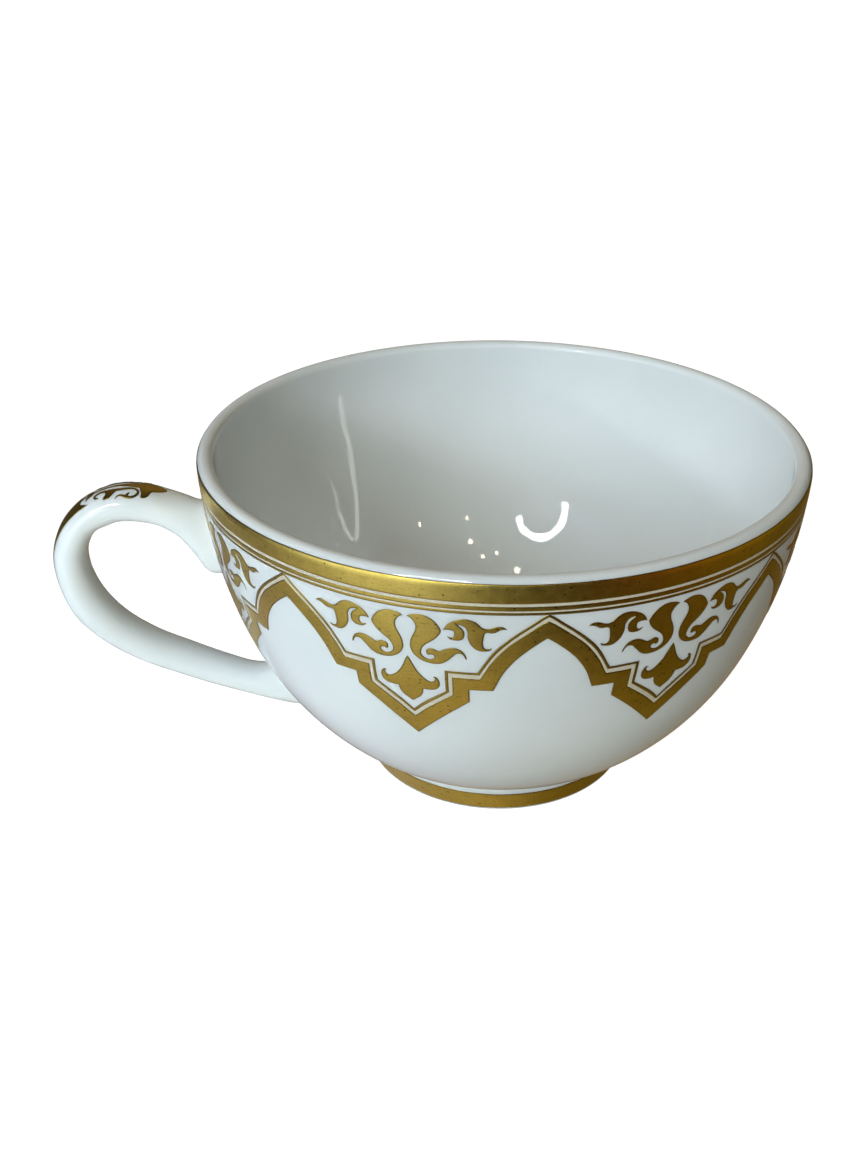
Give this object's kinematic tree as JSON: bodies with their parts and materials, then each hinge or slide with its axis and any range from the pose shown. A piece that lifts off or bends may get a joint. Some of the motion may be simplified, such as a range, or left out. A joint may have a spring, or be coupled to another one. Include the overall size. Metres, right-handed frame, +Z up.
{
  "type": "tea cup",
  "caption": "Porcelain tea cup with a rounded bowl, plain lip, loop handle and foot ring, gilt with rim bands and an arched leaf frieze.",
  "frame": {"origin": "on the bowl's axis, in the plane that the foot ring rests on", "axes": "+Z up along the bowl's axis, -X towards the handle, +Y to the side of the handle away from the picture's camera"},
  "size_m": [0.1259, 0.1004, 0.0595],
  "materials": {
    "porcelain": "smooth clear gloss glaze on cool white porcelain",
    "gilding": "burnished brownish gold, faintly speckled"
  },
  "bodies": {
    "root": {"bowl": "porcelain", "foot_ring": "porcelain", "handle": "porcelain", "rim_band": "gilding", "rim_stripe": "gilding", "rim_line": "gilding", "frieze_band": "gilding", "frieze_line": "gilding", "scroll_leaves": "gilding", "side_leaves": "gilding", "palmettes": "gilding", "foot_band": "gilding", "handle_leaf": "gilding"}
  },
  "joints": []
}
